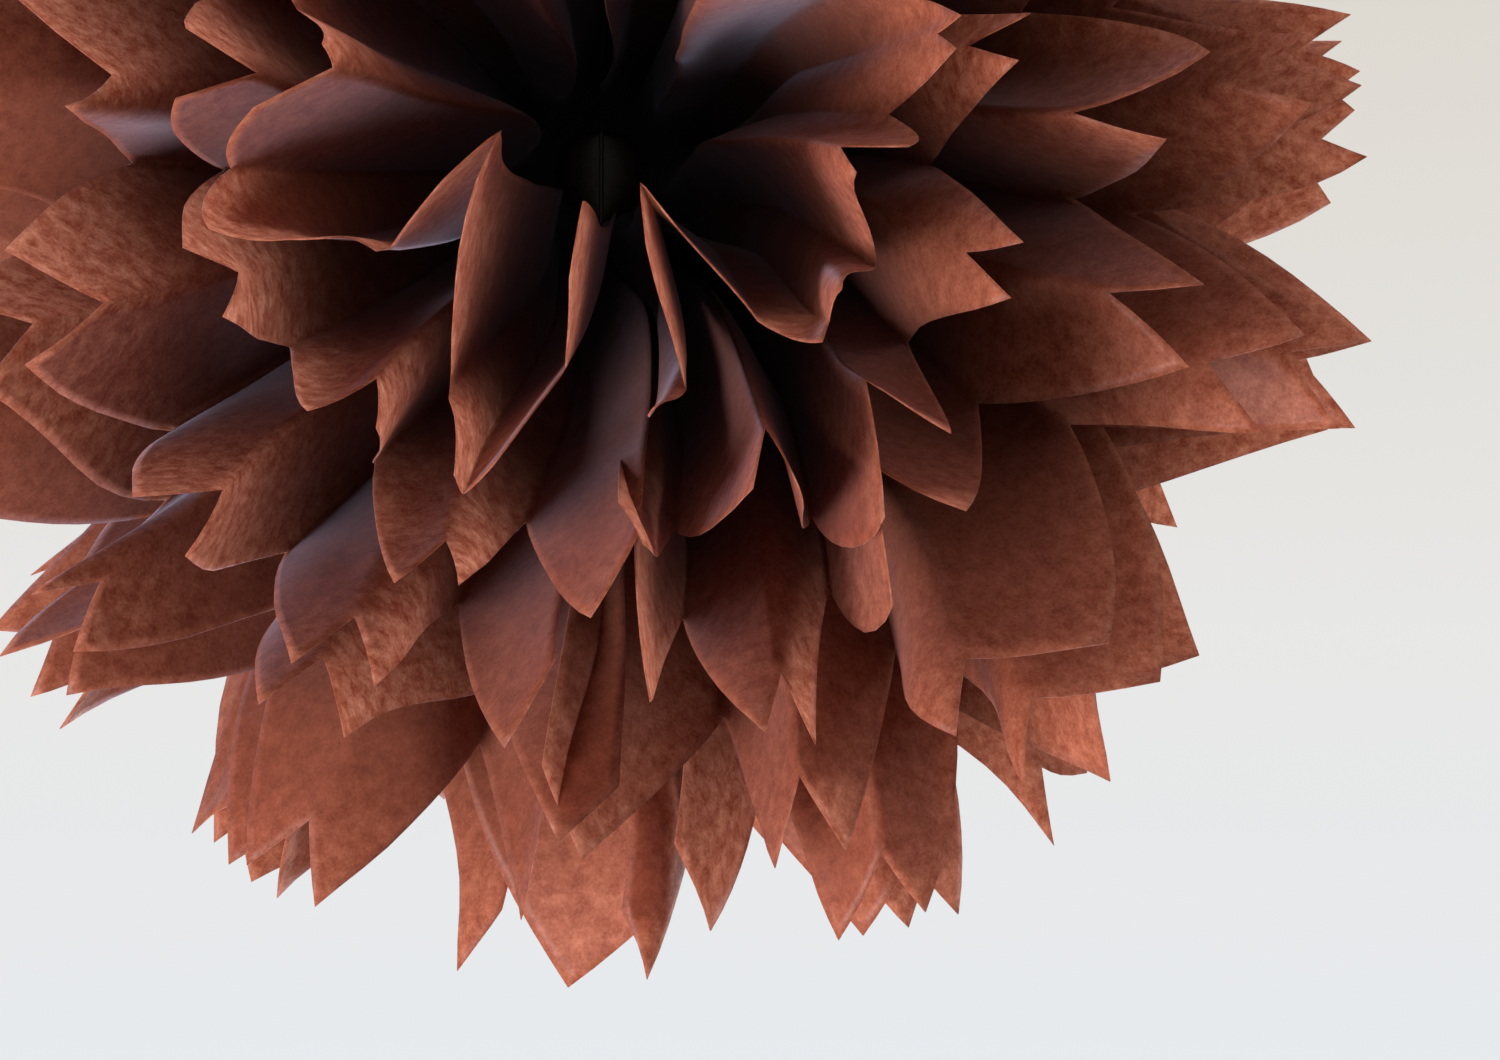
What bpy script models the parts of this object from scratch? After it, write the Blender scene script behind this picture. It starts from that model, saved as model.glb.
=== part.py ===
"""A hanging pom pom of tissue paper.

Twelve sheets are laid together and pleated into one strip. Soft wire ties the strip at its middle,
and the ends of the strip are cut to points. Each sheet is then pulled away from the others on both
sides of the tie, half of them to the front and half to the back, until the points make a ball.

The origin is the middle of the tie. +Z is up, and the sheets open around the Y axis: the front of
the ball faces -Y. Units are metres and radians.
"""

import math
import random

import bmesh
import bpy
from mathutils import Matrix, Vector, noise

SHEET_COUNT = 12
PLEAT_COUNT = 14
PLEAT_WIDTH = 0.0363
SHEET_THICKNESS = 0.0004
# Half of the pleated strip: from the tie to the tip of the longest point.
STRIP_HALF_LENGTH = 0.178
# How far below the tips the cut runs at an outer fold and at an inner one.
CUT_AT_OUTER_FOLD = 0.015
CUT_AT_INNER_FOLD = 0.046
# Where across a pleat the tip stands, as a share of its width from its outer fold.
TIP_PLACE = 0.28

# The tie presses the strip to a flat bundle, with this much air between two sheets. Either side of
# the tie the sheets spread to a flat hub, and turn away from each other at its round edge.
BUNDLE_WIDTH = 0.020
SHEET_CLEARANCE = 0.0005
STACK_PITCH = SHEET_THICKNESS + SHEET_CLEARANCE
HUB_RADIUS = 0.010

WIRE_DIAMETER = 0.0010
WIRE_CLEARANCE = 0.0003
# How far the edges of the sheets spread again within the width of the wire.
EDGE_SPREAD = 0.0008
WIRE_HALF_TURNS = 4
STEPS_A_HALF_TURN = 4
TAIL_LENGTH = 0.010

# Each half of a sheet fans out through this angle either way, until its edges meet those of the
# other half. The sheets share the ball between them up to the top elevation, measured from its
# flat middle plane.
FAN_HALF_ANGLE = math.radians(89)
SEAM_GAP = 0.0014
NECK_GAP = 0.0030
TOP_ELEVATION = math.radians(74)
STEEPEST_ELEVATION = math.radians(85)
LEAST_STEP = math.radians(5.0)
# How far a sheet wanders up and down round the fan, and over how many pleats.
ELEVATION_SCATTER = math.radians(12)
SCATTER_SPAN = 2.6
# Some pleats stand open and others are nearly shut: their widths round the fan, and the depths of
# their folds, as shares of an even one.
PLEAT_STEPS = (0.72, 1.28)
FOLD_DEPTHS = (0.75, 1.05)
# Between these elevations the pleats open out and gather into waves two pleats wide, this many
# times as deep as a pleat.
WAVES_FROM = math.radians(50)
WAVES_FULL = math.radians(72)
WAVE_DEPTH = 1.4
# Towards their tips the petals lean up and down one by one. A petal is what stands at an outer fold.
PETAL_LEAN = math.radians(4)
PETALS_FREE = (0.4, 1.0)
# The shares of a sheet's reach between which its pleats come to stand free of the hub.
PLEATS_OPEN = (0.07, 0.5)
# The shares between which the two halves of the ball close up to each other.
SEAM_CLOSES = (0.08, 0.26)

# Rows across each half of a sheet, as shares of the way from the hub's edge to each fold's cut.
ROW_SHARES = (0.0, 0.12, 0.28, 0.50, 0.75, 1.0)
TIP_ROW = len(ROW_SHARES)

# Each layer is wrung about the Y axis its own way: how far the ball's space is turned, over what
# slope off the middle plane and what distance along it, and from where outwards.
WRING = math.radians(12)
WRING_SLOPE = math.radians(26)
WRING_SPAN = 0.20
WRING_FROM = 0.016
WRING_FULL = 0.060

# The paper's own bends: how far the ball's space is pushed about, over what distance, and from
# where outwards.
BEND_REACH = 0.013
BEND_SPAN = 0.100
BEND_FROM = 0.030
BEND_FULL = 0.110
DROOP = 0.006
# Which part of the noise each of the three directions takes its bends from.
BEND_SHIFTS = (Vector((3.7, 0.0, 0.0)), Vector((0.0, 8.3, 0.0)), Vector((0.0, 0.0, 5.1)))

SEED = 20

PAPER_COLOUR = (0.20, 0.075, 0.045, 1.0)
WIRE_COLOUR = (0.10, 0.12, 0.08, 1.0)


def clear_scene():
    for obj in list(bpy.data.objects):
        bpy.data.objects.remove(obj)


def make_material(name, colour, roughness, metallic=0.0):
    material = bpy.data.materials.new(name)
    material.use_nodes = True
    shader = material.node_tree.nodes["Principled BSDF"]
    shader.inputs["Base Color"].default_value = colour
    shader.inputs["Roughness"].default_value = roughness
    shader.inputs["Metallic"].default_value = metallic
    return material


def smooth_step(value, low, high):
    share = min(1.0, max(0.0, (value - low) / (high - low)))
    return share * share * (3.0 - 2.0 * share)


def is_outer(fold):
    """Whether a fold stands towards the front face of the strip, as every second one does."""
    return fold % 2 == 0


def reach_share(fold, row):
    """How far out a row crosses a fold, as a share of the way from the hub to the tips."""
    if row == TIP_ROW:
        return 1.0
    below_tips = CUT_AT_OUTER_FOLD if is_outer(fold) else CUT_AT_INNER_FOLD
    return ROW_SHARES[row] * (1.0 - below_tips / (STRIP_HALF_LENGTH - HUB_RADIUS))


def bent(point):
    """Where a point of the ball lies once the paper has bent and drooped.

    Space itself is moved, and by less than it would take to fold it over, so sheets that were
    clear of each other stay clear.
    """
    distance = point.length
    slope = math.atan2(point.y, math.hypot(point.x, point.z))
    place = Vector((slope / WRING_SLOPE, point.x / WRING_SPAN, point.z / WRING_SPAN))
    turn = WRING * noise.noise(place) * smooth_step(distance, WRING_FROM, WRING_FULL)
    wrung = Matrix.Rotation(turn, 3, "Y") @ point
    share = smooth_step(distance, BEND_FROM, BEND_FULL)
    push = Vector([noise.noise(wrung / BEND_SPAN + shift) for shift in BEND_SHIFTS])
    sag = DROOP * (distance / STRIP_HALF_LENGTH) ** 2
    return wrung + push * BEND_REACH * share - Vector((0.0, 0.0, sag))


class Folds:
    """Where each fold of each sheet runs, on one side of the tie: its azimuth round the fan, and
    its elevation off the fan's plane at every row."""

    def __init__(self, side):
        draw = random.Random(SEED * 10 + side)
        steps = [draw.uniform(*PLEAT_STEPS) for pleat in range(PLEAT_COUNT)]
        self.side = side
        self.azimuths = [
            FAN_HALF_ANGLE * (2.0 * sum(steps[:fold]) / sum(steps) - 1.0)
            for fold in range(PLEAT_COUNT + 1)
        ]
        depths = [draw.uniform(*FOLD_DEPTHS) for fold in range(PLEAT_COUNT + 1)]
        phase = draw.randrange(4)
        self.elevations = {}
        for fold in range(PLEAT_COUNT + 1):
            zigzag = 1.0 if is_outer(fold) else -1.0
            wave = (1.0, 0.15, -1.0, -0.15)[(fold + phase) % 4]
            scatter = [self.scatter(fold, sheet) for sheet in range(SHEET_COUNT)]
            leans = [draw.uniform(-1, 1) * is_outer(fold) * PETAL_LEAN for sheet in scatter]
            for row in range(TIP_ROW + 1):
                share = reach_share(fold, row)
                swings = self.swings(fold, share, zigzag * depths[fold], wave * depths[fold])
                free = smooth_step(share, *PETALS_FREE)
                stacked = [
                    middle_elevation(sheet) + swing + scatter[sheet] * share + leans[sheet] * free
                    for sheet, swing in enumerate(swings)
                ]
                self.elevations[fold, row] = kept_apart(stacked)

    def scatter(self, fold, sheet):
        """How far a sheet wanders off its middle elevation at a fold, as it rises and falls
        round the fan."""
        place = Vector((fold / SCATTER_SPAN, sheet * 3.7, self.side * 7.3))
        return noise.noise(place) * ELEVATION_SCATTER

    def swings(self, fold, share, zigzag, wave):
        """How far each sheet swings off its middle elevation at a fold, for a share of its reach.

        The nearer its neighbours on the fan, the more paper is left over to swing out. Past the
        inner folds' cut the petals are free, and keep the shape that they have there.
        """
        distance = HUB_RADIUS + share * (STRIP_HALF_LENGTH - HUB_RADIUS)
        joined = min(distance, STRIP_HALF_LENGTH - CUT_AT_INNER_FOLD)
        beside = self.azimuths[max(fold - 1, 0):fold + 2]
        step = (beside[-1] - beside[0]) / (len(beside) - 1)
        opened = smooth_step(share, *PLEATS_OPEN)
        found = []
        for sheet in range(SHEET_COUNT):
            middle = middle_elevation(sheet)
            arc = min(step * joined * math.cos(middle) / PLEAT_WIDTH, 1.0)
            height = math.sqrt(1.0 - arc * arc) * PLEAT_WIDTH / 2.0
            gathered = smooth_step(abs(middle), WAVES_FROM, WAVES_FULL)
            offset = height * (zigzag * (1.0 - gathered) + WAVE_DEPTH * wave * gathered)
            found.append(math.atan2(offset * opened, joined))
        return found


def middle_elevation(sheet):
    return TOP_ELEVATION * (2.0 * sheet / (SHEET_COUNT - 1) - 1.0)


def kept_apart(stacked):
    """Elevations of one fold from the back sheet to the front one, pushed apart where two sheets
    would come too close, and kept short of the axis that the sheets open around."""
    middle = SHEET_COUNT // 2
    for sheet in range(middle, SHEET_COUNT):
        stacked[sheet] = max(stacked[sheet], stacked[sheet - 1] + LEAST_STEP)
    for sheet in reversed(range(middle - 1)):
        stacked[sheet] = min(stacked[sheet], stacked[sheet + 1] - LEAST_STEP)
    for sheet in range(SHEET_COUNT):
        highest = STEEPEST_ELEVATION - (SHEET_COUNT - 1 - sheet) * LEAST_STEP
        lowest = sheet * LEAST_STEP - STEEPEST_ELEVATION
        stacked[sheet] = min(max(stacked[sheet], lowest), highest)
    return stacked


def stack_height(sheet):
    """How far a sheet lies in front of the strip's middle, where the tie holds it."""
    return (sheet - (SHEET_COUNT - 1) / 2.0) * STACK_PITCH


def hub_radius(sheet):
    """Where a sheet turns away from the hub: the outer sheets turn first."""
    return HUB_RADIUS + min(sheet, SHEET_COUNT - 1 - sheet) * STACK_PITCH


def fold_point(folds, sheet, fold, row):
    """Where a row crosses a fold."""
    hub = hub_radius(sheet)
    share = reach_share(fold, row)
    azimuth = folds.azimuths[fold]
    elevation = folds.elevations[fold, row][sheet]
    length = (STRIP_HALF_LENGTH - hub) * share
    reach = hub + length * math.cos(elevation)
    closed = smooth_step(share, *SEAM_CLOSES)
    seam = SEAM_GAP / 2.0 + NECK_GAP / 2.0 * (1.0 - closed)
    return Vector((
        folds.side * (seam + reach * math.cos(azimuth)),
        -stack_height(sheet) - length * math.sin(elevation),
        reach * math.sin(azimuth),
    ))


def sheet_point(folds, sheet, fold, row):
    """Where a corner of the pleated sheet lies. Halfway between two folds it is a tip."""
    if folds is None:
        return Vector((0.0, -stack_height(sheet), BUNDLE_WIDTH * (fold / PLEAT_COUNT - 0.5)))
    if fold != int(fold):
        first = int(fold)
        ends = [fold_point(folds, sheet, edge, TIP_ROW) for edge in (first, first + 1)]
        return ends[0].lerp(ends[1], TIP_PLACE if is_outer(first) else 1.0 - TIP_PLACE)
    return fold_point(folds, sheet, fold, row)


def sheet_triangles():
    """The triangles of half a sheet, each corner as a line across the strip and a fold.

    The first line is the tie's, the last one is the cut, and half a fold is a tip. A pleat is
    split the same way in every sheet, which keeps neighbouring sheets clear of each other.
    """
    last = len(ROW_SHARES)
    for first in range(PLEAT_COUNT):
        outer, inner = (first, first + 1) if is_outer(first) else (first + 1, first)
        for line in range(last):
            if line + 1 < last:
                yield (line, outer), (line, inner), (line + 1, inner)
                yield (line, outer), (line + 1, inner), (line + 1, outer)
                continue
            tip = (last, first + 0.5)
            yield (line, outer), (line, inner), tip
            yield (line, inner), (last, inner), tip
            yield (line, outer), tip, (last, outer)


def make_sheet(name, folds_by_side, sheet, material, collection):
    """One whole sheet: its two fans, and the line between them that the tie holds."""
    flat = bmesh.new()
    corners = {}
    for side in (-1, 1):
        for triangle in sheet_triangles():
            for line, fold in triangle:
                if (side * line, fold) not in corners:
                    folds = folds_by_side[side] if line else None
                    place = bent(sheet_point(folds, sheet, fold, line - 1))
                    corners[side * line, fold] = flat.verts.new(place)
            flat.faces.new([corners[side * line, fold] for line, fold in triangle])
    bmesh.ops.recalc_face_normals(flat, faces=flat.faces[:])
    mesh = bpy.data.meshes.new(name)
    flat.to_mesh(mesh)
    flat.free()
    obj = bpy.data.objects.new(name, mesh)
    obj.data.materials.append(material)
    collection.objects.link(obj)
    paper = obj.modifiers.new("paper thickness", "SOLIDIFY")
    paper.thickness = SHEET_THICKNESS
    paper.offset = 0.0
    return obj


def bundle_ring(radius):
    """Points round the bundle, a given distance off it, from beside the tail round to beside it."""
    half_height = (SHEET_COUNT * STACK_PITCH - SHEET_CLEARANCE) / 2.0
    half_width = BUNDLE_WIDTH / 2.0 + EDGE_SPREAD
    for quarter, (front, up) in enumerate(((1, 1), (1, -1), (-1, -1), (-1, 1))):
        for step in range(3):
            angle = math.pi / 2.0 * (1 - quarter - step / 2.0)
            yield Vector((
                0.0,
                front * half_height + radius * math.cos(angle),
                up * half_width + radius * math.sin(angle),
            ))


def strand(phase, foot):
    """One of the tail's two strands, from the bundle upwards."""
    steps = WIRE_HALF_TURNS * STEPS_A_HALF_TURN
    radius = (WIRE_DIAMETER + WIRE_CLEARANCE) / 2.0
    for step in range(steps + 1):
        angle = phase + math.pi * step / STEPS_A_HALF_TURN
        yield Vector((
            radius * math.sin(angle),
            radius * math.cos(angle),
            foot + TAIL_LENGTH * step / steps,
        ))


def make_tie_wire(material, collection):
    """The wire: once round the bundle, and twisted on itself above it."""
    off = WIRE_DIAMETER / 2.0 + WIRE_CLEARANCE
    foot = BUNDLE_WIDTH / 2.0 + EDGE_SPREAD + off
    path = [
        *reversed(list(strand(0.0, foot))),
        *bundle_ring(off),
        *strand(math.pi, foot),
    ]
    curve = bpy.data.curves.new("tie_wire", "CURVE")
    curve.dimensions = "3D"
    curve.bevel_depth = WIRE_DIAMETER / 2.0
    curve.bevel_resolution = 2
    curve.use_fill_caps = True
    spline = curve.splines.new("POLY")
    spline.points.add(len(path) - 1)
    for place, point in zip(spline.points, path):
        place.co = (*point, 1.0)
    obj = bpy.data.objects.new("tie_wire", curve)
    obj.data.materials.append(material)
    collection.objects.link(obj)
    return obj


def main():
    clear_scene()
    collection = bpy.data.collections.new("tissue_paper_pom_pom")
    bpy.context.scene.collection.children.link(collection)
    paper = make_material("brown tissue paper", PAPER_COLOUR, 0.75)
    wire = make_material("paper-covered wire", WIRE_COLOUR, 0.55)
    folds_by_side = {side: Folds(side) for side in (-1, 1)}
    for sheet in range(SHEET_COUNT):
        make_sheet(f"tissue_sheet_{sheet + 1:02d}", folds_by_side, sheet, paper, collection)
    make_tie_wire(wire, collection)


main()
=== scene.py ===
"""A hanging ball of brown tissue paper, dressed for the picture.

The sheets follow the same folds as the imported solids, on a mesh fine enough for soft creases,
crumples and hand-cut edges. Lengths are in metres.
"""
import math
import random

import bmesh
import bpy
from mathutils import Matrix, Vector, noise


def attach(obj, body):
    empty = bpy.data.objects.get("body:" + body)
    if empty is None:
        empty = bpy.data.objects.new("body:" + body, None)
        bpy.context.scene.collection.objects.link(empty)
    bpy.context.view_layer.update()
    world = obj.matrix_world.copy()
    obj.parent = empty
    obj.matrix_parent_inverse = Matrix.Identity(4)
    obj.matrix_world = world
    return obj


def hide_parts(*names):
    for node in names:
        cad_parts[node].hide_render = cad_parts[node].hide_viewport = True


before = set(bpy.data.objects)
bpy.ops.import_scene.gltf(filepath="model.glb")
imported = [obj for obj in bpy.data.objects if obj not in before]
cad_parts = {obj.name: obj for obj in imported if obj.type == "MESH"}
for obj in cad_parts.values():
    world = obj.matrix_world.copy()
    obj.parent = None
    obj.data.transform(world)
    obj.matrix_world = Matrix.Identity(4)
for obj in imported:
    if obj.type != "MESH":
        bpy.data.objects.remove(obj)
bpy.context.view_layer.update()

# The folds, as the solids have them.
SHEET_COUNT = 12
PLEAT_COUNT = 14
PLEAT_WIDTH = 0.0363
STRIP_HALF_LENGTH = 0.178
CUT_AT_OUTER_FOLD = 0.015
CUT_AT_INNER_FOLD = 0.046
TIP_PLACE = 0.28
BUNDLE_WIDTH = 0.020
STACK_PITCH = 0.0009
HUB_RADIUS = 0.010
FAN_HALF_ANGLE = math.radians(89)
SEAM_GAP = 0.0008
TOP_ELEVATION = math.radians(74)
STEEPEST_ELEVATION = math.radians(85)
LEAST_STEP = math.radians(5.0)
ELEVATION_SCATTER = math.radians(12)
SCATTER_SPAN = 2.6
SCATTER_SHIFT_BY_SHEET = 3.7
SCATTER_SHIFT_BY_SIDE = 7.3
PLEAT_STEPS = (0.72, 1.28)
FOLD_DEPTHS = (0.75, 1.05)
WAVES_FROM = math.radians(50)
WAVES_FULL = math.radians(72)
WAVE_DEPTH = 1.4
WAVE_HEIGHTS = (1.0, 0.15, -1.0, -0.15)
PETAL_LEAN = math.radians(4)
PETALS_FREE = (0.4, 1.0)
PLEATS_OPEN = (0.07, 0.5)
ROW_SHARES = (0.0, 0.12, 0.28, 0.50, 0.75, 1.0)
TIP_ROW = len(ROW_SHARES)
WRING = math.radians(12)
WRING_SLOPE = math.radians(26)
WRING_SPAN = 0.20
WRING_FROM = 0.016
WRING_FULL = 0.060
BEND_REACH = 0.013
BEND_SPAN = 0.100
BEND_FROM = 0.030
BEND_FULL = 0.110
DROOP = 0.006
BEND_SHIFTS = (Vector((3.7, 0.0, 0.0)), Vector((0.0, 8.3, 0.0)), Vector((0.0, 0.0, 5.1)))
SEED = 20

# The fine mesh of a sheet: strips across each panel, before and past its tip, and rows outward.
STRIPS_TO_TIP = 4
STRIPS_PAST_TIP = 8
STRIPS = PLEAT_COUNT * (STRIPS_TO_TIP + STRIPS_PAST_TIP)
ROWS = 40
PAPER_THICKNESS = 0.00025
# In the bundle all the pleats of a sheet lie on each other, and no light passes between the sheets.
BUNDLE_THICKNESS = 0.97 * STACK_PITCH
BUNDLE_ROWS = 2

# How far the creases are rounded, in panels: most at the hub, and less and less outward.
CREASE_SOFTNESS = 0.035
SOFTER_AT_HUB = 1.6

# Beside the seam, each sheet is turned a little about the Y axis against its neighbours, so that no
# line of sight passes through the seams of them all.
SEAM_TURNS = [
    math.radians(turn)
    for turn in (2.5, -3.5, 3.0, -4.0, 3.5, -4.0, 4.0, -3.5, 4.0, -3.0, 3.5, -2.5)
]
PLEATS_TURNED = 1.5

# Each petal leans and twists its own way, from this share of its reach outward.
LEANS_FROM = 0.35
LEAN_ASIDE = math.radians(5.5)
LEAN_UP = math.radians(3.0)
TWIST = math.radians(6.0)
# A few petals have their ends bent up or down, some of them strongly.
FLICK = 0.013
TIPS_FLICK = (0.78, 1.02)
# Where the sheets beside it are no farther than the tight step, a petal neither leans up nor twists
# nor bends, and leans aside by the least share. From the wide step on it moves freely.
TIGHT_STEP = 0.8 * LEAST_STEP
LEAST_LEAN_ASIDE = 0.4
WIDE_STEP = math.radians(12)
PETAL_SEED = 2200

# Between its creases each panel is bowed, and curled towards the tips.
BOW = 0.0022
PANELS_BOW = (0.15, 0.6)
CURL = math.radians(3.0)
PANELS_CURL = (0.6, 1.0)

# The small crumples: soft swells, and fine creases where the paper was handled.
CRUMPLED = (0.02, 0.10)
SWELL_SPAN = 0.022
SWELL_HEIGHT = 0.0009
CREASE_SPAN = 0.030
CREASE_HEIGHT = 0.0016
CREASE_SHIFT = Vector((9.1, 2.2, 4.7))

# The cut by hand: the tips' places across the panels vary, and the line wobbles.
TIP_VARIES_BY_PANEL = 0.07
TIP_VARIES_BY_SHEET = 0.06
END_SHEETS_CUT = 0.5
CUT_WOBBLE = 0.0012
WOBBLES_A_PANEL = 2.1
WOBBLE_SHIFT_BY_SHEET = 3.3
WOBBLE_SHIFT = 1.7

# The paper.
PAPER_COLOUR = (0.290, 0.076, 0.037)
SHEET_TINTS = (0.94, 1.06)
DARK_PULP = 0.85
LIGHT_PULP = 1.15
PULP_RANGE = (0.37, 0.64)
CLOUD_SCALE = 300.0
FIBRE_SCALE = 1400.0
FIBRE_SHARE = 0.35
LIGHT_THROUGH_DARK_PULP = (0.55, 0.23, 0.15)
LIGHT_THROUGH_LIGHT_PULP = (0.96, 0.63, 0.50)
# How much light passes, and how far painted shade darkens the paper's colour, by the distance from
# the core.
PASSES_FROM, PASSES_FULL = 0.10, 0.176
LEAST_PASSED, MOST_PASSED = 0.10, 0.58
PAINTED_SHADE_FROM, PAINTED_SHADE_TO = 0.045, 0.172
DARKEST_PAINTED_SHADE = 0.06

# The picture, in the photo's pixels: the ball's middle stands left of and above its middle.
PHOTO_WIDTH = 1500
BALL_LEFT = 150
BALL_ABOVE = 350
SENSOR_WIDTH = 36.0
LENS = 76.6
CAMERA_DISTANCE = 0.75
CAMERA_BELOW = math.radians(8.0)

# Each lamp's place, size, power and colour.
LAMPS = {
    "window": ((-1.3, -1.0, -0.9), 0.9, 76.0, (0.88, 0.93, 1.0)),
    "room": ((1.5, -0.6, 0.6), 1.0, 8.0, (1.0, 0.93, 0.84)),
    "wall": ((0.5, 1.5, -0.2), 2.0, 34.0, (1.0, 0.98, 0.95)),
}

# The wall behind the ball, and its colours from the lowest to the highest direction in view.
WALL_HEIGHTS = (-0.13, 0.19)
WALL_LOW = (0.800, 0.824, 0.852)
WALL_MIDDLE = (0.805, 0.803, 0.792)
WALL_MIDDLE_PLACE = 0.4
WALL_HIGH = (0.730, 0.692, 0.635)
AIR_COLOUR = (0.93, 0.95, 1.0)
AIR_LIGHT = 0.11

FLOOR_HEIGHT = -2.2
FLOOR_HALF_SIZE = 3.0
FLOOR_COLOUR = (0.80, 0.81, 0.82)
WIRE_COLOUR = (0.030, 0.022, 0.016)


def smooth_step(value, low, high):
    share = min(1.0, max(0.0, (value - low) / (high - low)))
    return share * share * (3.0 - 2.0 * share)


def is_outer(fold):
    return fold % 2 == 0


def reach_share(fold, row):
    """How far out a row crosses a fold, as a share of the way from the hub to the tips."""
    if row == TIP_ROW:
        return 1.0
    below_tips = CUT_AT_OUTER_FOLD if is_outer(fold) else CUT_AT_INNER_FOLD
    return ROW_SHARES[row] * (1.0 - below_tips / (STRIP_HALF_LENGTH - HUB_RADIUS))


def bent(point):
    """Where a point of the ball lies once the paper has bent and drooped.

    Space itself is moved, and by less than it would take to fold it over, so sheets that were
    clear of each other stay clear.
    """
    distance = point.length
    slope = math.atan2(point.y, math.hypot(point.x, point.z))
    place = Vector((slope / WRING_SLOPE, point.x / WRING_SPAN, point.z / WRING_SPAN))
    turn = WRING * noise.noise(place) * smooth_step(distance, WRING_FROM, WRING_FULL)
    wrung = Matrix.Rotation(turn, 3, "Y") @ point
    share = smooth_step(distance, BEND_FROM, BEND_FULL)
    push = Vector([noise.noise(wrung / BEND_SPAN + shift) for shift in BEND_SHIFTS])
    sag = DROOP * (distance / STRIP_HALF_LENGTH) ** 2
    return wrung + push * BEND_REACH * share - Vector((0.0, 0.0, sag))


class Folds:
    """Where each fold of each sheet runs, on one side of the tie: its azimuth round the fan, and
    its elevation off the fan's plane at every row."""

    def __init__(self, side):
        draw = random.Random(SEED * 10 + side)
        steps = [draw.uniform(*PLEAT_STEPS) for pleat in range(PLEAT_COUNT)]
        self.side = side
        self.azimuths = [
            FAN_HALF_ANGLE * (2.0 * sum(steps[:fold]) / sum(steps) - 1.0)
            for fold in range(PLEAT_COUNT + 1)
        ]
        depths = [draw.uniform(*FOLD_DEPTHS) for fold in range(PLEAT_COUNT + 1)]
        phase = draw.randrange(len(WAVE_HEIGHTS))
        self.elevations = {}
        for fold in range(PLEAT_COUNT + 1):
            zigzag = 1.0 if is_outer(fold) else -1.0
            wave = WAVE_HEIGHTS[(fold + phase) % len(WAVE_HEIGHTS)]
            scatter = [self.scatter(fold, sheet) for sheet in range(SHEET_COUNT)]
            leans = [draw.uniform(-1, 1) * is_outer(fold) * PETAL_LEAN for sheet in scatter]
            for row in range(TIP_ROW + 1):
                share = reach_share(fold, row)
                swings = self.swings(fold, share, zigzag * depths[fold], wave * depths[fold])
                free = smooth_step(share, *PETALS_FREE)
                stacked = [
                    middle_elevation(sheet) + swing + scatter[sheet] * share + leans[sheet] * free
                    for sheet, swing in enumerate(swings)
                ]
                self.elevations[fold, row] = kept_apart(stacked)

    def scatter(self, fold, sheet):
        """How far a sheet wanders off its middle elevation at a fold, as it rises and falls
        round the fan."""
        by_sheet, by_side = sheet * SCATTER_SHIFT_BY_SHEET, self.side * SCATTER_SHIFT_BY_SIDE
        return noise.noise(Vector((fold / SCATTER_SPAN, by_sheet, by_side))) * ELEVATION_SCATTER

    def swings(self, fold, share, zigzag, wave):
        """How far each sheet swings off its middle elevation at a fold, for a share of its reach.

        The nearer its neighbours on the fan, the more paper is left over to swing out. Past the
        inner folds' cut the petals are free, and keep the shape that they have there.
        """
        distance = HUB_RADIUS + share * (STRIP_HALF_LENGTH - HUB_RADIUS)
        joined = min(distance, STRIP_HALF_LENGTH - CUT_AT_INNER_FOLD)
        beside = self.azimuths[max(fold - 1, 0):fold + 2]
        step = (beside[-1] - beside[0]) / (len(beside) - 1)
        opened = smooth_step(share, *PLEATS_OPEN)
        found = []
        for sheet in range(SHEET_COUNT):
            middle = middle_elevation(sheet)
            arc = min(step * joined * math.cos(middle) / PLEAT_WIDTH, 1.0)
            height = math.sqrt(1.0 - arc * arc) * PLEAT_WIDTH / 2.0
            gathered = smooth_step(abs(middle), WAVES_FROM, WAVES_FULL)
            offset = height * (zigzag * (1.0 - gathered) + WAVE_DEPTH * wave * gathered)
            found.append(math.atan2(offset * opened, joined))
        return found

    def elevation_at(self, sheet, fold, share):
        """The fold's elevation anywhere along it, on a smooth line through its rows."""
        places = [reach_share(fold, row) for row in range(1, TIP_ROW + 1)]
        values = [self.elevations[fold, row][sheet] for row in range(1, TIP_ROW + 1)]
        return through(places, values, share)

    def room_at(self, sheet, fold):
        """How free a petal is between the sheets beside it, from 0 to 1."""
        steps = []
        for near in range(max(fold - 1, 0), min(fold + 1, PLEAT_COUNT) + 1):
            at_tips = self.elevations[near, TIP_ROW]
            for below in range(max(sheet - 1, 0), min(sheet + 1, SHEET_COUNT - 1)):
                steps.append(at_tips[below + 1] - at_tips[below])
        return smooth_step(min(steps), TIGHT_STEP, WIDE_STEP)

    def point_at(self, sheet, fold, share):
        """A point of a fold, before the paper is bent."""
        hub = hub_radius(sheet)
        azimuth = self.azimuths[fold]
        elevation = self.elevation_at(sheet, fold, share)
        length = (STRIP_HALF_LENGTH - hub) * share
        reach = hub + length * math.cos(elevation)
        return Vector((
            self.side * (SEAM_GAP / 2.0 + reach * math.cos(azimuth)),
            -stack_height(sheet) - length * math.sin(elevation),
            reach * math.sin(azimuth),
        ))


def through(places, values, at):
    """A smooth line through the given values, level past its ends."""
    if at <= places[0]:
        return values[0]
    if at >= places[-1]:
        return values[-1]
    last = len(places) - 1
    first = next(i for i in range(last) if at <= places[i + 1])
    gap = places[first + 1] - places[first]

    def slope(i):
        if i == 0:
            return 0.0
        after = min(i + 1, last)
        return (values[after] - values[i - 1]) / (places[after] - places[i - 1])

    t = (at - places[first]) / gap
    return (
        values[first] * (2 * t**3 - 3 * t**2 + 1)
        + values[first + 1] * (3 * t**2 - 2 * t**3)
        + gap * (slope(first) * (t**3 - 2 * t**2 + t) + slope(first + 1) * (t**3 - t**2))
    )


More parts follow.
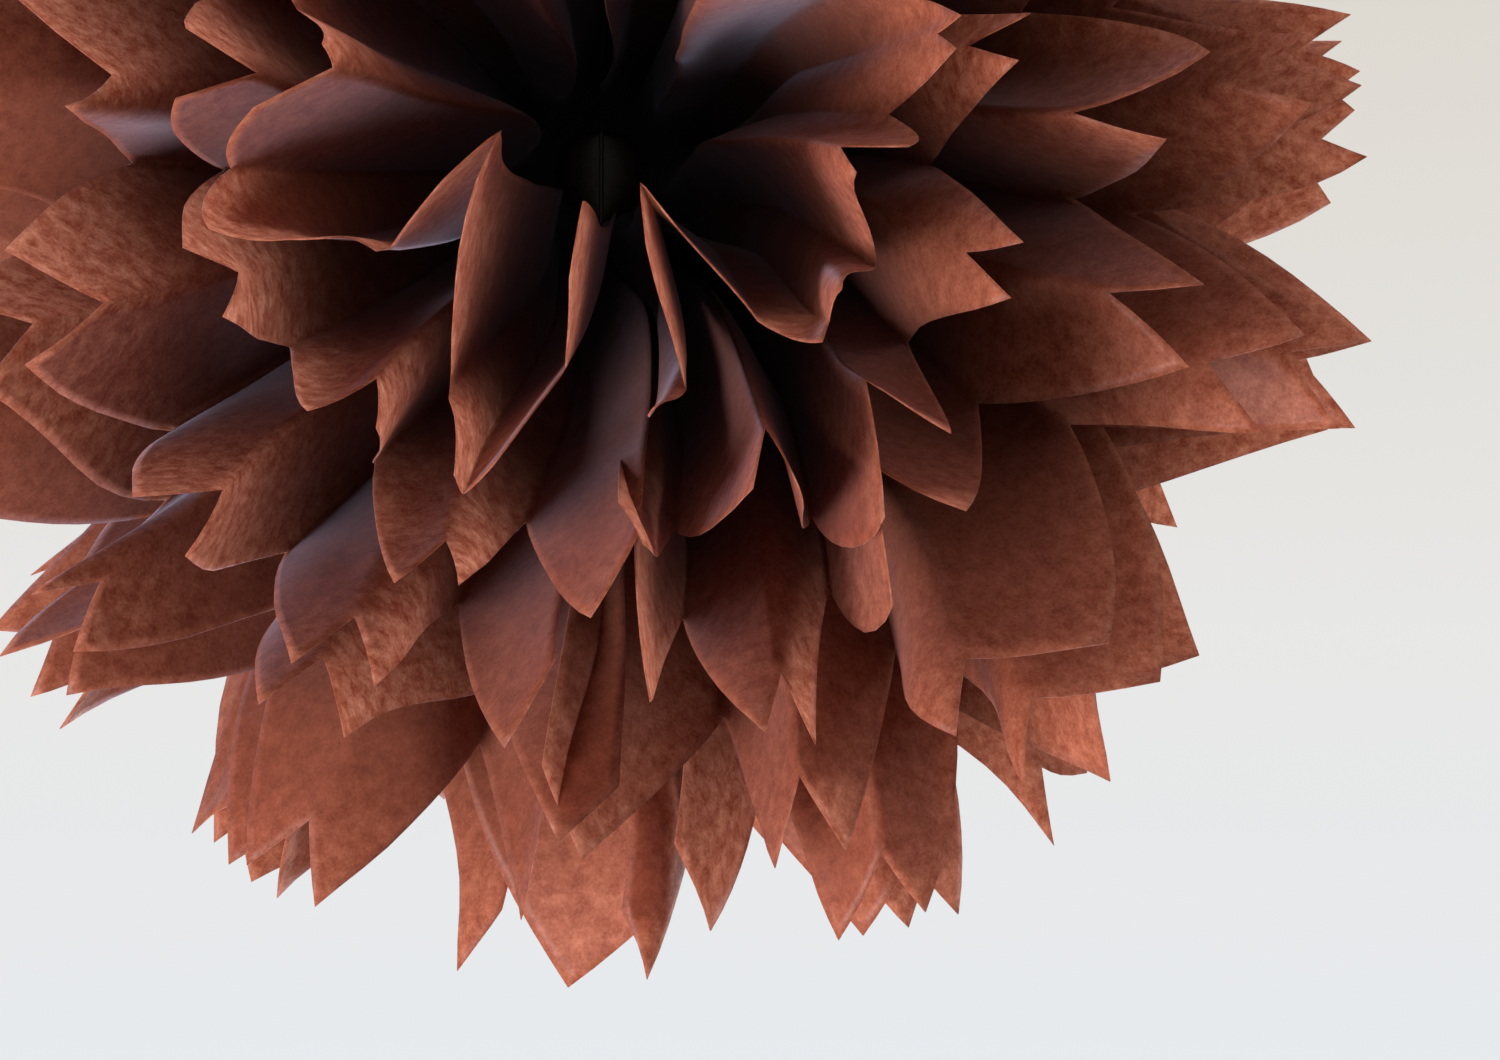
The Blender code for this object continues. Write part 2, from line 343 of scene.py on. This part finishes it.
def middle_elevation(sheet):
    return TOP_ELEVATION * (2.0 * sheet / (SHEET_COUNT - 1) - 1.0)


def kept_apart(stacked):
    """The sheets' elevations at one place, moved so that no two sheets come too near."""
    middle = SHEET_COUNT // 2
    for sheet in range(middle, SHEET_COUNT):
        stacked[sheet] = max(stacked[sheet], stacked[sheet - 1] + LEAST_STEP)
    for sheet in reversed(range(middle - 1)):
        stacked[sheet] = min(stacked[sheet], stacked[sheet + 1] - LEAST_STEP)
    for sheet in range(SHEET_COUNT):
        highest = STEEPEST_ELEVATION - (SHEET_COUNT - 1 - sheet) * LEAST_STEP
        lowest = sheet * LEAST_STEP - STEEPEST_ELEVATION
        stacked[sheet] = min(max(stacked[sheet], lowest), highest)
    return stacked


def stack_height(sheet):
    return (sheet - (SHEET_COUNT - 1) / 2.0) * STACK_PITCH


def hub_radius(sheet):
    return HUB_RADIUS + min(sheet, SHEET_COUNT - 1 - sheet) * STACK_PITCH


class Petals:
    """What each petal and panel of each sheet does by itself: how it leans, twists, bows and curls,
    and how it was cut. A petal is the two panels beside an outer fold."""

    def __init__(self, folds):
        draw = random.Random(PETAL_SEED + folds.side)
        self.lean = {}
        self.flick = {}
        self.bow = {}
        self.curl = {}
        self.tip = {}
        for fold in range(0, PLEAT_COUNT + 1, 2):
            for sheet in range(SHEET_COUNT):
                room = folds.room_at(sheet, fold)
                aside = LEAST_LEAN_ASIDE + (1.0 - LEAST_LEAN_ASIDE) * room
                self.lean[sheet, fold] = (
                    draw.uniform(-1.0, 1.0) * LEAN_ASIDE * aside,
                    draw.uniform(-1.0, 1.0) * LEAN_UP * room,
                    draw.uniform(-1.0, 1.0) * TWIST * room,
                )
                self.flick[sheet, fold] = draw.uniform(-1.0, 1.0) ** 3 * FLICK * room
        for panel in range(PLEAT_COUNT):
            shared_tip = draw.uniform(-TIP_VARIES_BY_PANEL, TIP_VARIES_BY_PANEL)
            for sheet in range(SHEET_COUNT):
                self.bow[sheet, panel] = draw.uniform(-1.0, 1.0)
                self.curl[sheet, panel] = draw.uniform(-1.0, 1.0)
                own_tip = draw.uniform(-TIP_VARIES_BY_SHEET, TIP_VARIES_BY_SHEET)
                self.tip[sheet, panel] = shared_tip + own_tip

    def flicked(self, sheet, across, share):
        """How far the end of the petal at a place is bent up."""
        return self.flick[sheet, nearest_outer(across)] * smooth_step(share, *TIPS_FLICK)

    def leaning(self, sheet, across, share):
        """How far the petal at a place leans in azimuth and in elevation."""
        fold = nearest_outer(across)
        off = across - fold
        held = math.cos(math.pi / 2.0 * min(abs(off), 1.0)) ** 2
        free = smooth_step(share, LEANS_FROM, 1.0) * held
        aside, up, twist = self.lean[sheet, fold]
        return aside * free, (up + twist * off * 2.0) * free

    def tip_part(self, sheet, panel):
        """How far across a panel its tip stands."""
        place = TIP_PLACE + self.tip[sheet, panel]
        return place if is_outer(panel) else 1.0 - place

    def cut_share(self, sheet, at):
        """How far out the cut runs, at a place across the sheet."""
        whole = STRIP_HALF_LENGTH - hub_radius(sheet)
        panel = min(int(at), PLEAT_COUNT - 1)
        part = at - panel
        tip = self.tip_part(sheet, panel)
        first, second = (
            CUT_AT_OUTER_FOLD if is_outer(fold) else CUT_AT_INNER_FOLD
            for fold in (panel, panel + 1)
        )
        if sheet in (0, SHEET_COUNT - 1):
            first, second = END_SHEETS_CUT * first, END_SHEETS_CUT * second
        if part < tip:
            depth = first * (1.0 - part / tip)
        else:
            depth = second * (part - tip) / (1.0 - tip)
        place = Vector((at * WOBBLES_A_PANEL, sheet * WOBBLE_SHIFT_BY_SHEET, WOBBLE_SHIFT))
        wobble = noise.noise(place) * CUT_WOBBLE
        return 1.0 - (depth + wobble) / whole


def nearest_outer(across):
    return 2 * round(across / 2.0)


def lift_at(point):
    """The direction in which the sheet's elevation grows at a point."""
    out = point.normalized()
    axis = Vector((0.0, -1.0, 0.0))
    return (axis - out * axis.dot(out)).normalized()


def crumple(point):
    """How far the crumples lift the paper at a point."""
    size = smooth_step(point.length, *CRUMPLED)
    swell = noise.noise(point / SWELL_SPAN) * SWELL_HEIGHT
    crease = abs(noise.noise(point / CREASE_SPAN + CREASE_SHIFT)) * CREASE_HEIGHT
    return (swell + crease) * size


class SheetSide:
    """One side of one sheet, from the hub to the cut."""

    def __init__(self, folds, petals, sheet):
        self.folds = folds
        self.petals = petals
        self.sheet = sheet
        self.fold_points = {}

    def fold_point(self, fold, share):
        if (fold, share) not in self.fold_points:
            self.fold_points[fold, share] = self.folds.point_at(self.sheet, fold, share)
        return self.fold_points[fold, share]

    def sharp_point(self, across, share):
        """A point of the sheet with sharp creases, across counted in folds."""
        across = min(max(across, 0.0), float(PLEAT_COUNT))
        first = min(int(across), PLEAT_COUNT - 1)
        ends = self.fold_point(first, share), self.fold_point(first + 1, share)
        return ends[0].lerp(ends[1], across - first)

    def soft_point(self, across, share):
        """A point of the sheet with soft creases, bowed panels and leaning petals, before the
        paper is bent."""
        sheet, petals = self.sheet, self.petals
        softness = CREASE_SOFTNESS * (SOFTER_AT_HUB - share)
        before = self.sharp_point(across - softness, share)
        after = self.sharp_point(across + softness, share)
        point = (before + 2.0 * self.sharp_point(across, share) + after) / 4.0
        panel = min(int(across), PLEAT_COUNT - 1)
        arch = math.sin(math.pi * (across - panel))
        bow = petals.bow[sheet, panel] * BOW * arch * smooth_step(share, *PANELS_BOW)
        curl = petals.curl[sheet, panel] * arch * smooth_step(share, *PANELS_CURL) * CURL
        flick = petals.flicked(sheet, across, share)
        point = point + lift_at(point) * (bow + curl * share * STRIP_HALF_LENGTH + flick)
        aside, up = petals.leaning(sheet, across, share)
        tilt = lift_at(point).cross(point.normalized())
        beside_seam = max(0.0, 1.0 - min(across, PLEAT_COUNT - across) / PLEATS_TURNED)
        turn = aside + SEAM_TURNS[sheet] * self.folds.side * beside_seam
        point = Matrix.Rotation(turn, 3, "Y") @ point
        if up:
            point = Matrix.Rotation(-up, 3, tilt) @ point
        return point

    def columns(self):
        """Where the mesh's strips meet across the sheet: at each fold and tip, and between."""
        places = [0.0]
        for panel in range(PLEAT_COUNT):
            tip = self.petals.tip_part(self.sheet, panel)
            counts = STRIPS_TO_TIP, STRIPS_PAST_TIP
            to_tip, past_tip = counts if is_outer(panel) else reversed(counts)
            places += [panel + tip * step / to_tip for step in range(1, to_tip + 1)]
            places += [
                panel + tip + (1.0 - tip) * step / past_tip for step in range(1, past_tip + 1)
            ]
        return places

    def points(self):
        """The sheet's points, column by column and from the hub to the cut in each."""
        found = []
        for across in self.columns():
            end = self.petals.cut_share(self.sheet, across)
            column = []
            for row in range(ROWS + 1):
                point = self.soft_point(across, end * row / ROWS)
                lift = lift_at(point)
                point = bent(point)
                column.append(point + lift * crumple(point))
            found.append(column)
        return found


def make_sheet(name, sheet, folds_by_side, petals_by_side, material):
    bm = bmesh.new()
    in_bundle = []
    grid = {}
    for side, folds in folds_by_side.items():
        points = SheetSide(folds, petals_by_side[side], sheet).points()
        for column, outward in enumerate(points):
            for row, point in enumerate(outward):
                grid[side, column, row] = bm.verts.new(point)
                if row <= BUNDLE_ROWS:
                    in_bundle.append(grid[side, column, row])
    tie = [
        bm.verts.new((0.0, -stack_height(sheet), BUNDLE_WIDTH * (column / STRIPS - 0.5)))
        for column in range(STRIPS + 1)
    ]
    for column in range(STRIPS):
        for side in folds_by_side:
            faces = [[
                tie[column], tie[column + 1], grid[side, column + 1, 0], grid[side, column, 0],
            ]]
            for row in range(ROWS):
                faces.append([
                    grid[side, column, row], grid[side, column + 1, row],
                    grid[side, column + 1, row + 1], grid[side, column, row + 1],
                ])
            for corners in faces:
                bm.faces.new(corners if side > 0 else corners[::-1])
    bm.verts.index_update()
    in_bundle = [vert.index for vert in in_bundle + tie]
    mesh = bpy.data.meshes.new(name)
    bm.to_mesh(mesh)
    bm.free()
    mesh.shade_smooth()
    obj = bpy.data.objects.new(name, mesh)
    obj.data.materials.append(material)
    bpy.context.scene.collection.objects.link(obj)
    obj.vertex_groups.new(name="bundle").add(in_bundle, 1.0, "REPLACE")
    paper = obj.modifiers.new("paper thickness", "SOLIDIFY")
    paper.thickness = BUNDLE_THICKNESS
    paper.vertex_group = "bundle"
    paper.thickness_vertex_group = PAPER_THICKNESS / BUNDLE_THICKNESS
    paper.offset = 0.0
    return obj


def add_node(tree, kind, values=None, **settings):
    """A new node, with the values of its sockets and its own settings."""
    node = tree.nodes.new(kind)
    for setting, value in settings.items():
        setattr(node, setting, value)
    for socket, value in (values or {}).items():
        node.inputs[socket].default_value = value
    return node


def add_ramp(tree, source, stops):
    """A colour ramp on a value, from places and colours in rising order."""
    node = tree.nodes.new("ShaderNodeValToRGB")
    first, *between, last = stops
    for element, (place, colour) in zip(node.color_ramp.elements, (first, last)):
        element.position = place
        element.color = (*colour, 1.0)
    for place, colour in between:
        node.color_ramp.elements.new(place).color = (*colour, 1.0)
    tree.links.new(source, node.inputs["Fac"])
    return node


def tissue_material(name, tint):
    material = bpy.data.materials.new(name)
    material.use_nodes = True
    tree = material.node_tree
    tree.nodes.clear()
    link = tree.links.new
    output = add_node(tree, "ShaderNodeOutputMaterial")
    mix = add_node(tree, "ShaderNodeMixShader")
    front = add_node(tree, "ShaderNodeBsdfPrincipled", {
        "Roughness": 0.48,
        "Specular IOR Level": 0.28,
        "Sheen Weight": 0.25,
        "Sheen Roughness": 0.45,
        "Sheen Tint": (0.72, 0.70, 0.90, 1.0),
    })
    through_light = add_node(tree, "ShaderNodeBsdfTranslucent")
    coords = add_node(tree, "ShaderNodeTexCoord")

    # The pulp: clouds of thick and thin paper, with the fibres in them.
    cloud = add_node(tree, "ShaderNodeTexNoise", {
        "Scale": CLOUD_SCALE, "Detail": 5.0, "Roughness": 0.72,
    })
    fibre = add_node(tree, "ShaderNodeTexNoise", {
        "Scale": FIBRE_SCALE, "Detail": 2.0, "Roughness": 0.6,
    })
    for texture in (cloud, fibre):
        link(coords.outputs["Object"], texture.inputs["Vector"])
    pulp = add_node(tree, "ShaderNodeMix", {"Factor": FIBRE_SHARE})
    link(cloud.outputs["Fac"], pulp.inputs["A"])
    link(fibre.outputs["Fac"], pulp.inputs["B"])
    surface = add_ramp(tree, pulp.outputs["Result"], [
        (place, [part * tint * tone for part in PAPER_COLOUR])
        for place, tone in zip(PULP_RANGE, (DARK_PULP, LIGHT_PULP))
    ])
    passed_colours = (LIGHT_THROUGH_DARK_PULP, LIGHT_THROUGH_LIGHT_PULP)
    passed = add_ramp(tree, pulp.outputs["Result"], list(zip(PULP_RANGE, passed_colours)))

    # Near the core the gathered paper lies in many layers, and lets less light through; painted
    # shade darkens its colour there.
    reach = add_node(tree, "ShaderNodeVectorMath", operation="LENGTH")
    link(coords.outputs["Object"], reach.inputs[0])
    outward = add_node(tree, "ShaderNodeMapRange", {
        "From Min": PASSES_FROM, "From Max": PASSES_FULL,
        "To Min": LEAST_PASSED, "To Max": MOST_PASSED,
    }, interpolation_type="SMOOTHSTEP")
    link(reach.outputs["Value"], outward.inputs["Value"])
    # Painted shade: the paper's colour is darkened towards the core, down to the darkest share at
    # the hub.
    painted_shade = add_node(tree, "ShaderNodeMapRange", {
        "From Min": PAINTED_SHADE_FROM, "From Max": PAINTED_SHADE_TO, "To Min": DARKEST_PAINTED_SHADE,
    })
    link(reach.outputs["Value"], painted_shade.inputs["Value"])
    painted_shade_colour = add_node(tree, "ShaderNodeVectorMath", operation="SCALE")
    link(surface.outputs["Color"], painted_shade_colour.inputs[0])
    link(painted_shade.outputs["Result"], painted_shade_colour.inputs["Scale"])

    bump = add_node(tree, "ShaderNodeBump", {"Strength": 0.12, "Distance": 0.0004})
    link(fibre.outputs["Fac"], bump.inputs["Height"])
    link(bump.outputs["Normal"], front.inputs["Normal"])
    link(painted_shade_colour.outputs["Vector"], front.inputs["Base Color"])
    link(passed.outputs["Color"], through_light.inputs["Color"])
    link(outward.outputs["Result"], mix.inputs["Fac"])
    link(front.outputs["BSDF"], mix.inputs[1])
    link(through_light.outputs["BSDF"], mix.inputs[2])
    link(mix.outputs["Shader"], output.inputs["Surface"])
    return material


def plain_material(name, colour, roughness):
    material = bpy.data.materials.new(name)
    material.use_nodes = True
    shader = material.node_tree.nodes["Principled BSDF"]
    shader.inputs["Base Color"].default_value = (*colour, 1.0)
    shader.inputs["Roughness"].default_value = roughness
    return material


def add_camera():
    data = bpy.data.cameras.new("camera")
    camera = bpy.data.objects.new("camera", data)
    bpy.context.scene.collection.objects.link(camera)
    data.sensor_width = SENSOR_WIDTH
    data.lens = LENS
    place = Vector((0.0, -math.cos(CAMERA_BELOW), -math.sin(CAMERA_BELOW))) * CAMERA_DISTANCE
    camera.location = place
    pixels = PHOTO_WIDTH * LENS / SENSOR_WIDTH
    towards = -place.normalized()
    right = towards.cross(Vector((0.0, 0.0, 1.0))).normalized()
    up = right.cross(towards)
    aim = towards + right * (BALL_LEFT / pixels) - up * (BALL_ABOVE / pixels)
    camera.rotation_euler = aim.to_track_quat("-Z", "Y").to_euler()
    bpy.context.scene.camera = camera


def add_lamp(name, place, size, power, colour):
    data = bpy.data.lights.new(name, "AREA")
    data.shape = "DISK"
    data.size = size
    data.energy = power
    data.color = colour
    lamp = bpy.data.objects.new(name, data)
    lamp.location = place
    lamp.rotation_euler = (-Vector(place)).to_track_quat("-Z", "Y").to_euler()
    bpy.context.scene.collection.objects.link(lamp)


def add_world():
    """The wall, seen by the camera, in gloss and through paper, and the air's light on the rest."""
    world = bpy.data.worlds.new("studio")
    bpy.context.scene.world = world
    world.use_nodes = True
    tree = world.node_tree
    tree.nodes.clear()
    link = tree.links.new
    output = add_node(tree, "ShaderNodeOutputWorld")
    mix = add_node(tree, "ShaderNodeMixShader")
    light = add_node(tree, "ShaderNodeBackground", {
        "Color": (*AIR_COLOUR, 1.0), "Strength": AIR_LIGHT,
    })
    wall = add_node(tree, "ShaderNodeBackground")
    path = add_node(tree, "ShaderNodeLightPath")
    coords = add_node(tree, "ShaderNodeTexCoord")
    height = add_node(tree, "ShaderNodeSeparateXYZ")
    link(coords.outputs["Generated"], height.inputs["Vector"])
    lowest, highest = WALL_HEIGHTS
    spread = add_node(tree, "ShaderNodeMapRange", {"From Min": lowest, "From Max": highest})
    link(height.outputs["Z"], spread.inputs["Value"])
    ramp = add_ramp(tree, spread.outputs["Result"], [
        (0.0, WALL_LOW), (WALL_MIDDLE_PLACE, WALL_MIDDLE), (1.0, WALL_HIGH),
    ])
    link(ramp.outputs["Color"], wall.inputs["Color"])
    seen = path.outputs["Is Camera Ray"]
    for kind in ("Is Glossy Ray", "Is Transmission Ray"):
        either = add_node(tree, "ShaderNodeMath", operation="MAXIMUM")
        link(seen, either.inputs[0])
        link(path.outputs[kind], either.inputs[1])
        seen = either.outputs["Value"]
    link(seen, mix.inputs["Fac"])
    link(light.outputs["Background"], mix.inputs[1])
    link(wall.outputs["Background"], mix.inputs[2])
    link(mix.outputs["Shader"], output.inputs["Surface"])


def add_floor():
    mesh = bpy.data.meshes.new("floor")
    plan = bmesh.new()
    bmesh.ops.create_grid(plan, x_segments=1, y_segments=1, size=FLOOR_HALF_SIZE)
    plan.to_mesh(mesh)
    plan.free()
    floor = bpy.data.objects.new("floor", mesh)
    floor.location = (0.0, 0.0, FLOOR_HEIGHT)
    floor.data.materials.append(plain_material("pale floor", FLOOR_COLOUR, 0.8))
    bpy.context.scene.collection.objects.link(floor)


def main():
    bpy.context.scene.view_settings.view_transform = "Standard"
    folds_by_side = {side: Folds(side) for side in (-1, 1)}
    petals_by_side = {side: Petals(folds) for side, folds in folds_by_side.items()}
    draw = random.Random(SEED)
    for sheet in range(SHEET_COUNT):
        material = tissue_material(f"tissue {sheet + 1:02d}", draw.uniform(*SHEET_TINTS))
        node = f"tissue_sheet_{sheet + 1:02d}"
        piece = make_sheet(f"sheet_{sheet + 1:02d}", sheet, folds_by_side, petals_by_side, material)
        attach(piece, "root")
        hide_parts(node)
    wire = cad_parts["tie_wire"]
    wire.data.materials.clear()
    wire.data.materials.append(plain_material("wire cover", WIRE_COLOUR, 0.6))
    add_camera()
    add_world()
    for name, (place, size, power, colour) in LAMPS.items():
        add_lamp(name, place, size, power, colour)
    add_floor()


main()
